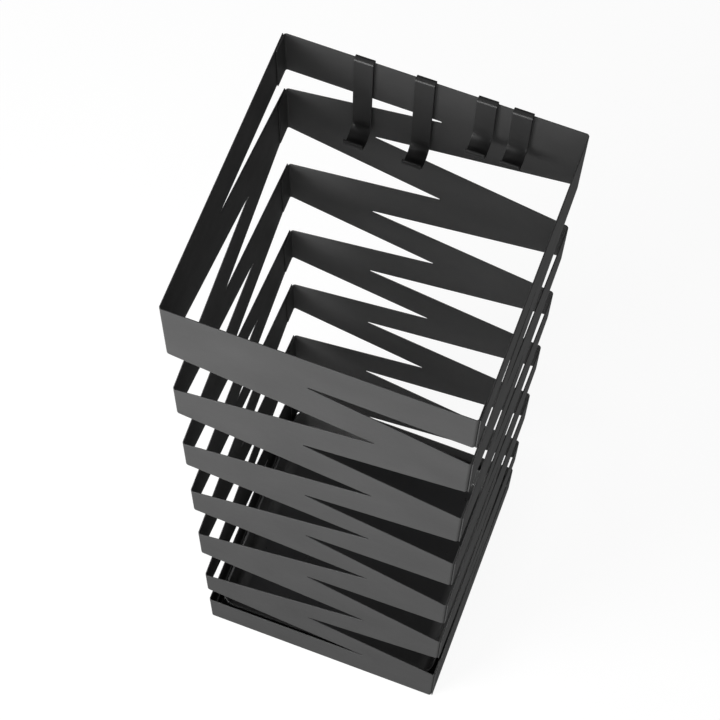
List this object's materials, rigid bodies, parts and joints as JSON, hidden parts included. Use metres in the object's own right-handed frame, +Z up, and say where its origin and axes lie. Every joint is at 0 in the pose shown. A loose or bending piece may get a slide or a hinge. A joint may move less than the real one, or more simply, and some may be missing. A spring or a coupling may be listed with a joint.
{
  "type": "umbrella stand",
  "caption": "Square open-top umbrella stand of slit black sheet steel, with a loose drip tray and hooks on the back rim for folding umbrellas.",
  "frame": {"origin": "centre of the footprint on the floor", "axes": "+Z up, -Y towards the front wall, +X to the right; the hooks hang on the back wall at +Y"},
  "size_m": [0.155, 0.1562, 0.5011],
  "materials": {
    "panel_coating": "fine matte black powder coat",
    "base_coating": "fine matte black powder coat",
    "hook_coating": "satin black powder coat",
    "tray_plastic": "glossy moulded",
    "pad_rubber": "matte"
  },
  "bodies": {
    "tower": {"left_front_panel": "panel_coating", "right_back_panel": "panel_coating", "base_plate": "base_coating", "foot_pad_1": "pad_rubber", "foot_pad_2": "pad_rubber", "foot_pad_3": "pad_rubber", "foot_pad_4": "pad_rubber"},
    "tray": {"drip_tray": "tray_plastic"},
    "long_left_hook": {"hook_long_left": "hook_coating"},
    "long_right_hook": {"hook_long_right": "hook_coating"},
    "short_left_hook": {"hook_short_left": "hook_coating"},
    "short_right_hook": {"hook_short_right": "hook_coating"}
  },
  "joints": [
    {"name": "tray_lift", "type": "slide", "parent": "tower", "child": "tray", "axis": [0, 0, 1], "range_m": [0, 0.4]},
    {"name": "hook_long_left_lift", "type": "slide", "parent": "tower", "child": "long_left_hook", "axis": [0, 0, 1], "range_m": [0, 0.02]},
    {"name": "hook_long_right_lift", "type": "slide", "parent": "tower", "child": "long_right_hook", "axis": [0, 0, 1], "range_m": [0, 0.02]},
    {"name": "hook_short_left_lift", "type": "slide", "parent": "tower", "child": "short_left_hook", "axis": [0, 0, 1], "range_m": [0, 0.02]},
    {"name": "hook_short_right_lift", "type": "slide", "parent": "tower", "child": "short_right_hook", "axis": [0, 0, 1], "range_m": [0, 0.02]}
  ]
}
